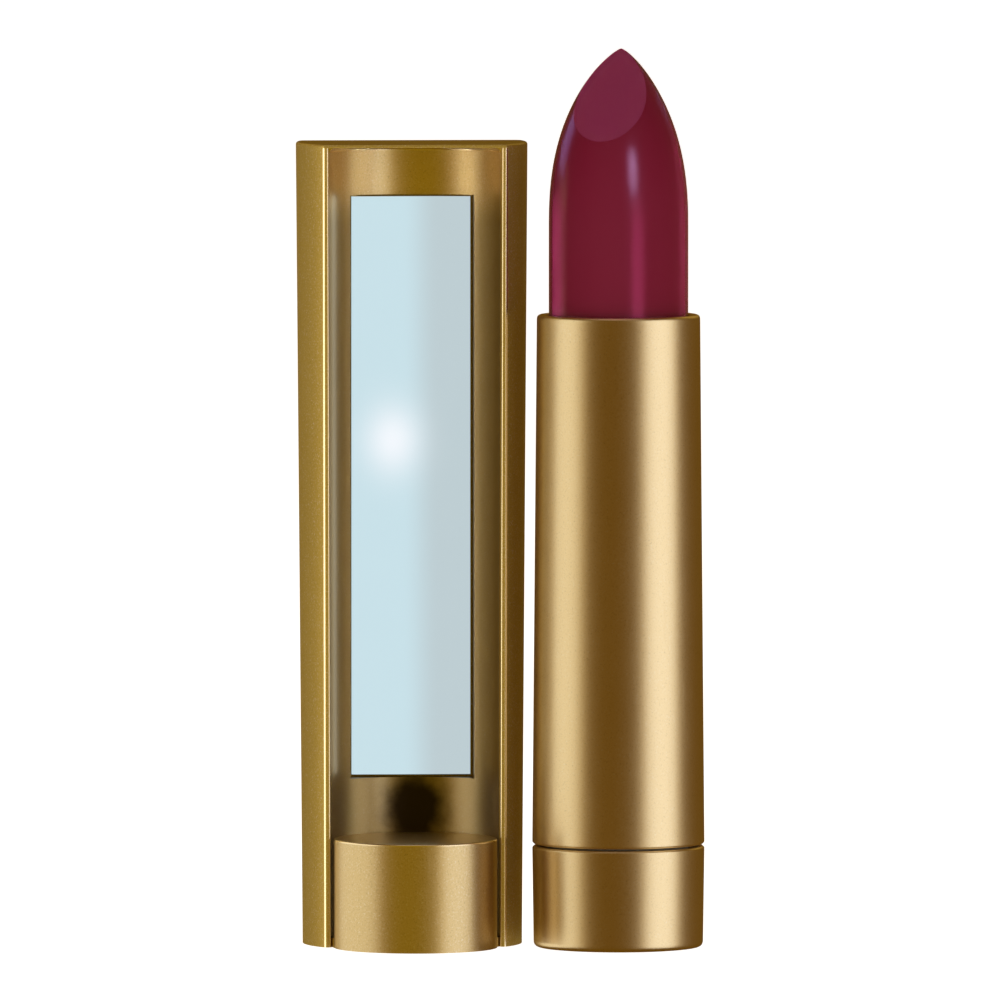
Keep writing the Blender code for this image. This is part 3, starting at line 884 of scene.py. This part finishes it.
def liner_outline(share):
    """The tray: its outer side from the right rail round to the left, then the round channel."""
    radius = between(CHANNEL_RADIUS, share)
    side = radius + LINER_SIDE
    outer = [(wall_x(share, LINER_SEAM) + LINER_EDGE, LINER_SEAM), (side, LINER_FULL)]
    corner_start = (side, LINER_BACK - LINER_CORNER)
    corner_end = (side - LINER_CORNER, LINER_BACK)
    outer += bezier(corner_start, (side, LINER_BACK), corner_end, 6)
    seam_angle = math.asin(LINER_SEAM / radius)
    channel = arc((0, 0), radius, math.pi - seam_angle, seam_angle, 120)
    return mirrored(outer) + channel


def end_fillet(height):
    """The hollow fillet between the round channel and the case's far end."""
    radius = between(CHANNEL_RADIUS, height / CASE_HEIGHT)
    hollow = END_FILLET
    outside = radius + 0.2 * MM
    section = [(outside, height), (outside, height - hollow), (radius, height - hollow)]
    section += arc((radius - hollow, height - hollow), hollow, 0, math.pi / 2, 8)[1:]
    seam_angle = math.asin(LINER_SEAM / radius)
    steps = 120
    slices = []
    for i in range(steps + 1):
        angle = seam_angle + (math.pi - 2 * seam_angle) * i / steps
        x, y = math.cos(angle), math.sin(angle)
        slices.append([(CASE_X + x * r, RAIL_Y + y * r, z) for r, z in section])
    return lofted_piece("end_fillet", slices)


def make_case_liner(gold):
    """The tray that forms the channel, with the mirror's window cut through its back."""
    heights = (PLUG_THICKNESS + PLUG_TO_LINER, LINER_TOP)
    liner = lofted_piece("channel_tray", case_sections(liner_outline, heights))
    gap = Vector((MIRROR_GAP, 0, MIRROR_GAP))
    low, high = MIRROR_LOW - gap, MIRROR_HIGH + gap
    low.y, high.y = RAIL_Y + CASE_DEPTH / 3, RAIL_Y + CASE_DEPTH + MARGIN
    combine(liner, box_piece("window", low, high), "DIFFERENCE")
    combine(liner, end_fillet(LINER_TOP), "UNION")
    soften_edges(liner, TRAY_EDGE, 2)
    dress(liner, gold, "case", "case_gold", "case_liner")
    # Painted highlight: a band in the hollow just under the channel's end gets the paler gold.
    low, high = LINER_TOP - 0.40 * MM, LINER_TOP - 0.10 * MM
    paint_highlight_faces(liner, lambda place: low < place.z < high)


def plug_outline(share):
    mouth_gap, front_gap, rail_gap = PLUG_GAPS
    half = [(between(CHANNEL_RADIUS, share) - mouth_gap, front_gap)]
    meets = lip_meets_arc(share) + rail_gap
    half += bowed_side(share, CASE_WALL + FIT_GAP, meets, CASE_DEPTH - CASE_WALL - FIT_GAP)
    return mirrored(half)


def foot_ring(inset, drop):
    """A ring of the foot block, level with its sloping top less a drop."""
    points = []
    for x, y in arc((0, 0), FOOT_RADIUS - inset, 0, math.tau, 180)[:-1]:
        share = (y + FOOT_RADIUS) / (2 * FOOT_RADIUS)
        points += place([(x, y)], FOOT_HEIGHT + FOOT_RISE * share - drop)
    return points


def make_case_foot(shape, gold):
    """The plate that closes the case's end and the round block that stands on it."""
    foot = lofted_piece("foot_plug", case_sections(plug_outline, (0, PLUG_THICKNESS)))
    rounding = shape.rail_round
    rings = [place(arc((0, 0), FOOT_RADIUS, 0, math.tau, 180)[:-1], 0)]
    for inset, rise in arc((0, 0), rounding, 0, math.pi / 2, 5):
        rings.append(foot_ring(rounding - inset, rounding - rise))
    combine(foot, lofted_piece("block", rings), "UNION")
    soften_edges(foot, CASE_EDGE, 2)
    foot.name = "foot_block"
    dress(foot, gold, "case", "case_gold", "case_foot")
    # Painted highlight: the rounding round the foot's top gets the paler gold.
    edge = FOOT_HEIGHT - rounding
    paint_highlight_faces(foot, lambda place: edge < place.z < FOOT_HEIGHT - 0.15 * rounding)


def make_mirror():
    """The glass with ground edges."""
    glass = box_piece("mirror_plate", MIRROR_LOW, MIRROR_HIGH)
    soften_edges(glass, GLASS_EDGE, 2)
    dress(glass, mirror_material(), "case", "mirror", "mirror_glass")


# ---------------------------------------------------------------- inner parts


def paint_node(node, material):
    """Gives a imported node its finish; its mesh stays as it is."""
    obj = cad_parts[node]
    for slot in obj.material_slots:
        slot.material = material
    if not obj.material_slots:
        obj.data.materials.append(material)


def paint_inner_parts():
    brass = turned_metal_material("drawn_brass", (0.66, 0.48, 0.20), 0.30)
    steel = turned_metal_material("turned_steel", (0.50, 0.50, 0.52), 0.28)
    ivory = plastic_material("ivory_plastic", (0.72, 0.69, 0.62), 0.42)
    rubber = plastic_material("soft_rubber", (0.03, 0.03, 0.03), 0.65)
    foam = plastic_material("foam_tape", (0.05, 0.05, 0.05), 0.80)
    looks = {
        "spiral_sleeve": brass,
        "barrel_collar": brass,
        "retaining_ring": steel,
        "base_weight": steel,
        "base_hub": ivory,
        "guide_tube": ivory,
        "carrier_cup": ivory,
        "brake_ring": rubber,
        "mirror_tape": foam,
        "shade_label": label_material(),
    }
    for node, material in looks.items():
        paint_node(node, material)


# ---------------------------------------------------------------- studio


def aim(obj, place, target):
    obj.location = place
    obj.rotation_mode = "QUATERNION"
    obj.rotation_quaternion = (Vector(place) - Vector(target)).to_track_quat("Z", "Y")


def around(azimuth, elevation, distance, centre):
    """A place round the set: azimuth 0 is in front and 90 on the right, in degrees."""
    a, e = math.radians(azimuth), math.radians(elevation)
    way = Vector((math.sin(a) * math.cos(e), -math.cos(a) * math.cos(e), math.sin(e)))
    return centre + way * distance


def softbox(name, azimuth, elevation, distance, size, radiance, colour, only=None, leave=None):
    """A rectangular light of an even radiance that faces the set. With only, it lights
    nothing but those objects; with leave, everything but those."""
    data = bpy.data.lights.new(name, "AREA")
    data.shape = "RECTANGLE"
    data.size, data.size_y = size
    data.energy = radiance * math.pi * size[0] * size[1]
    data.color = colour
    obj = bpy.data.objects.new(name, data)
    bpy.context.scene.collection.objects.link(obj)
    centre = Vector((0, 0, LIGHT_HEIGHT))
    aim(obj, around(azimuth, elevation, distance, centre), centre)
    obj.visible_camera = False
    link_light(obj, only, leave)
    return obj


def warm_rim(light, share):
    """Lets a softbox fade towards its upright edges, and turn warmer as it fades."""
    graph = Graph(light.data)
    where = graph.add("ShaderNodeNewGeometry").outputs["Parametric"]
    across = Value(graph, graph.add("ShaderNodeSeparateXYZ", None, {0: where}).outputs["X"])
    from_edge = 0.5 - graph.math("ABSOLUTE", across - 0.5, 0.0)
    fade = graph.span(from_edge, 0.0, share / 2, smooth=False)
    stops = [(0.0, (0.02, 0.006, 0.0)), (0.3, (0.24, 0.16, 0.05)), (0.6, (0.62, 0.52, 0.33)),
             (1.0, (1.0, 1.0, 1.0))]
    ramp = graph.add("ShaderNodeValToRGB", {"stops": stops}, {0: fade})
    glow = graph.add("ShaderNodeEmission", None, {"Color": ramp.outputs[0], "Strength": 1.0})
    graph.add("ShaderNodeOutputLight", None, {"Surface": glow.outputs[0]})


def link_light(obj, only, leave):
    """Limits which objects a light reaches."""
    if not only and not leave:
        return
    group = bpy.data.collections.new(obj.name + "_receivers")
    for receiver in only or leave:
        group.objects.link(receiver)
    if leave:
        for entry in group.collection_objects:
            entry.light_linking.link_state = "EXCLUDE"
    obj.light_linking.receiver_collection = group


def reach_through(light):
    """Lets a light reach its surfaces past anything that stands in the way."""
    light.data.use_shadow = False
    light.data.cycles.use_multiple_importance_sampling = False


def make_floor():
    mesh = bpy.data.meshes.new("floor")
    build = bmesh.new()
    bmesh.ops.create_grid(build, x_segments=1, y_segments=1, size=30.0)
    floor = finished_object("floor", mesh, build)
    floor.location.z = -FLOOR_DROP
    made, graph = new_material("pale_floor")
    inputs = {
        "Base Color": (0.80, 0.80, 0.80),
        "Roughness": 0.9,
        "Emission Color": (1.0, 1.0, 1.0),
        "Emission Strength": 1.0,
    }
    graph.principled(inputs)
    floor.data.materials.append(made)
    floor.visible_glossy = False
    floor.visible_shadow = False


def make_mirror_light(mirror):
    """A pale panel that only the mirror sees, cooler to the right, with a soft white glow."""
    width, height = PANEL_SIZE
    panel = softbox("mirror_panel", 0, 0, 0.5, PANEL_SIZE, 1.0, (1.0, 1.0, 1.0), [mirror])
    panel.location = PANEL_PLACE
    panel.rotation_mode = "XYZ"
    panel.rotation_euler = (math.radians(90), 0, 0)
    graph = Graph(panel.data)
    where = graph.add("ShaderNodeNewGeometry").outputs["Parametric"]
    parts = graph.add("ShaderNodeSeparateXYZ", None, {0: where})
    x = (Value(graph, parts.outputs["X"]) - 0.5) * width - GLOW_PLACE[0]
    z = (Value(graph, parts.outputs["Y"]) - 0.5) * height - GLOW_PLACE[1]
    glow = graph.math("POWER", 0.5, (x * x + z * z) * (1 / GLOW_SPREAD**2))
    across = graph.span(x, 1.3 * MM, 6.4 * MM)
    blue = graph.mix(across, (0.554, 0.755, 0.864), (0.477, 0.606, 0.690))
    colour = graph.mix(glow, blue, (0.93, 0.96, 1.05))
    light = graph.add("ShaderNodeEmission", None, {"Color": colour, "Strength": 1.0})
    graph.add("ShaderNodeOutputLight", None, {"Surface": light.outputs[0]})


def make_world():
    """Brown surroundings for what the gold reflects, and a pale backdrop behind the set."""
    world = bpy.data.worlds.new("studio")
    bpy.context.scene.world = world
    graph = Graph(world)
    seen = graph.add("ShaderNodeLightPath").outputs["Is Camera Ray"]
    room = graph.add("ShaderNodeBackground", None, {"Color": (0.127, 0.062, 0.0), "Strength": 1.0})
    backdrop = graph.add("ShaderNodeBackground", None, {"Color": (1.0, 1.0, 1.0), "Strength": 1.0})
    inputs = {0: seen, 1: room.outputs[0], 2: backdrop.outputs[0]}
    mixed = graph.add("ShaderNodeMixShader", None, inputs)
    graph.add("ShaderNodeOutputWorld", None, {"Surface": mixed.outputs[0]})


def make_camera(studio):
    data = bpy.data.cameras.new("camera")
    camera = bpy.data.objects.new("camera", data)
    bpy.context.scene.collection.objects.link(camera)
    bpy.context.scene.camera = camera
    target = Vector((LIPSTICK_X - 10.3 * MM, LIPSTICK_Y, 38.9 * MM))
    turn = -math.degrees(studio.camera_turn)
    rise = math.degrees(studio.camera_rise)
    aim(camera, around(turn, rise, studio.camera_distance, target), target)
    data.sensor_width = 36.0
    data.lens = data.sensor_width * studio.camera_distance / studio.view_width
    data.clip_start, data.clip_end = 0.05, 100.0


def light_gold(strength):
    """Large softboxes at the sides, weak ones behind and above, and what only the case gets."""
    stick = [bpy.data.objects["bullet_stick"]]
    case = [bpy.data.objects[name] for name in ("case_outer", "channel_tray", "foot_block")]
    shell, tray = case[:1], case[1:2]
    sides = (
        ("softbox_left", -98, 1.46, 0.84, (1.0, 1.0, 0.88), 0.45, None, stick + shell),
        ("softbox_case", -70, 0.90, 1.50, (1.0, 1.0, 0.86), 0.6, shell, None),
        ("softbox_right", 58, 0.74, 1.05, (0.98, 1.02, 1.05), 0.45, None, stick),
    )
    for name, azimuth, width, radiance, colour, rim, only, leave in sides:
        size = (width, 0.90)
        box = softbox(name, azimuth, 4, 0.60, size, strength * radiance, colour, only, leave)
        warm_rim(box, rim)
    for name, azimuth in (("back_left", -150), ("back_right", 150)):
        softbox(name, azimuth, 30, 0.9, (0.5, 0.5), strength * 0.30, AMBER, None, stick)
    softbox("top", 0, 88, 0.9, (0.6, 0.6), strength * 0.4, WHITE, None, stick)
    softbox("case_fill", -3, 4, 1.0, (2.0, 1.8), 0.15, (0.95, 0.76, 0.02), case)
    for name, azimuth in (("channel_right", 80), ("channel_left", -80)):
        light = softbox(name, azimuth, 0, 0.5, (0.28, 0.9), 0.60, (1.0, 0.97, 0.80), tray)
        reach_through(light)


def light_stick():
    """Even light for the colour of the wax, and tinted strips for its sheen."""
    stick = [bpy.data.objects["bullet_stick"]]
    for name, azimuth in (("stick_fill", 0), ("stick_fill_back", 180)):
        fill = softbox(name, azimuth, 20, 0.8, (1.8, 1.6), 0.71, (1.0, 1.0, 1.0), stick)
        fill.visible_glossy = False
    red = (1.0, 0.11, 0.36)
    lilac = (0.70, 0.44, 0.90)
    blue = (0.42, 0.44, 1.0)
    sheens = (
        ("stick_left", -126, -20, (0.40, 0.5), 1.7, red),
        ("stick_right", 29, -20, (0.22, 0.5), 3.4, red),
        ("stick_right_back", 132, -10, (0.40, 0.5), 0.5, red),
        ("stick_lilac_left", -126, 20, (0.26, 0.22), 1.5, (0.52, 0.36, 1.0)),
        ("stick_lilac_right", 23, 20, (0.14, 0.20), 7.5, lilac),
        ("stick_lilac_back", 138, 24, (0.20, 0.20), 0.3, blue),
        ("stick_top", -20, 86, (0.5, 0.5), 1.4, (1.0, 0.22, 0.52)),
    )
    for name, azimuth, elevation, size, radiance, colour in sheens:
        strip = softbox(name, azimuth, elevation, 0.6, size, radiance, colour, stick)
        strip.visible_diffuse = False
        reach_through(strip)


def make_studio(studio):
    light_gold(studio.box_strength)
    light_stick()
    make_floor()
    make_mirror_light(bpy.data.objects["mirror_plate"])
    make_world()
    make_camera(studio)
    bpy.context.scene.view_settings.view_transform = "Standard"


# ---------------------------------------------------------------- add-on


class LIPSTICK_OT_barrel(bpy.types.Operator):
    """Builds the barrel and the base ring"""

    bl_idname = "lipstick.barrel"
    bl_label = "Barrel and base"

    def execute(self, context):
        gold = gold_material("barrel_satin_gold", finishes().barrel_gold, 0.33, sparkle=1.5)
        make_barrel(context.scene.lipstick_shape, gold)
        make_base(context.scene.lipstick_shape, gold)
        return {"FINISHED"}


class LIPSTICK_OT_bullet(bpy.types.Operator):
    """Builds the stick of wax"""

    bl_idname = "lipstick.bullet"
    bl_label = "Stick"

    def execute(self, context):
        make_bullet(context.scene.lipstick_shape)
        return {"FINISHED"}


class LIPSTICK_OT_case(bpy.types.Operator):
    """Builds the case's shell, tray and foot block"""

    bl_idname = "lipstick.case"
    bl_label = "Mirror case"

    def execute(self, context):
        shape = context.scene.lipstick_shape
        outside = gold_material("case_satin_gold", finishes().case_gold, 0.40, 0.25, 2.2, 0.72)
        foot_gold = scaled(finishes().channel_gold, 0.93)
        foot = gold_material("foot_satin_gold", foot_gold, 0.36, coat=0.20, sparkle=2.0)
        make_case_shell(shape, outside)
        make_case_liner(channel_material())
        make_case_foot(shape, foot)
        return {"FINISHED"}


class LIPSTICK_OT_mirror(bpy.types.Operator):
    """Builds the mirror"""

    bl_idname = "lipstick.mirror"
    bl_label = "Mirror"

    def execute(self, context):
        make_mirror()
        return {"FINISHED"}


class LIPSTICK_OT_inner_parts(bpy.types.Operator):
    """Gives the mechanism's parts their finishes"""

    bl_idname = "lipstick.inner_parts"
    bl_label = "Mechanism finishes"

    def execute(self, context):
        paint_inner_parts()
        return {"FINISHED"}


class LIPSTICK_OT_studio(bpy.types.Operator):
    """Sets up the floor, the lights and the camera"""

    bl_idname = "lipstick.studio"
    bl_label = "Studio"

    def execute(self, context):
        make_studio(context.scene.lipstick_studio)
        return {"FINISHED"}


OPERATORS = (
    LIPSTICK_OT_barrel,
    LIPSTICK_OT_bullet,
    LIPSTICK_OT_case,
    LIPSTICK_OT_mirror,
    LIPSTICK_OT_inner_parts,
    LIPSTICK_OT_studio,
)


class LIPSTICK_PT_panel(bpy.types.Panel):
    """Lists the settings and the steps that build the set"""

    bl_idname = "LIPSTICK_PT_panel"
    bl_label = "Lipstick and mirror case"
    bl_space_type = "VIEW_3D"
    bl_region_type = "UI"
    bl_category = "Lipstick"

    def draw(self, context):
        scene = context.scene
        for settings in (scene.lipstick_finish, scene.lipstick_shape, scene.lipstick_studio):
            column = self.layout.column(align=True)
            for name in settings.__annotations__:
                column.prop(settings, name)
        column = self.layout.column(align=True)
        for operator in OPERATORS:
            column.operator(operator.bl_idname)


GROUPS = {
    "lipstick_finish": FinishSettings,
    "lipstick_shape": ShapeSettings,
    "lipstick_studio": StudioSettings,
}
CLASSES = (*GROUPS.values(), *OPERATORS, LIPSTICK_PT_panel)


def register():
    for cls in CLASSES:
        bpy.utils.register_class(cls)
    for name, group in GROUPS.items():
        setattr(bpy.types.Scene, name, PointerProperty(type=group))


def unregister():
    for name in GROUPS:
        delattr(bpy.types.Scene, name)
    for cls in reversed(CLASSES):
        bpy.utils.unregister_class(cls)


def main():
    register()
    bpy.ops.lipstick.barrel()
    bpy.ops.lipstick.bullet()
    bpy.ops.lipstick.case()
    bpy.ops.lipstick.mirror()
    bpy.ops.lipstick.inner_parts()
    bpy.ops.lipstick.studio()


if __name__ == "__main__":
    main()
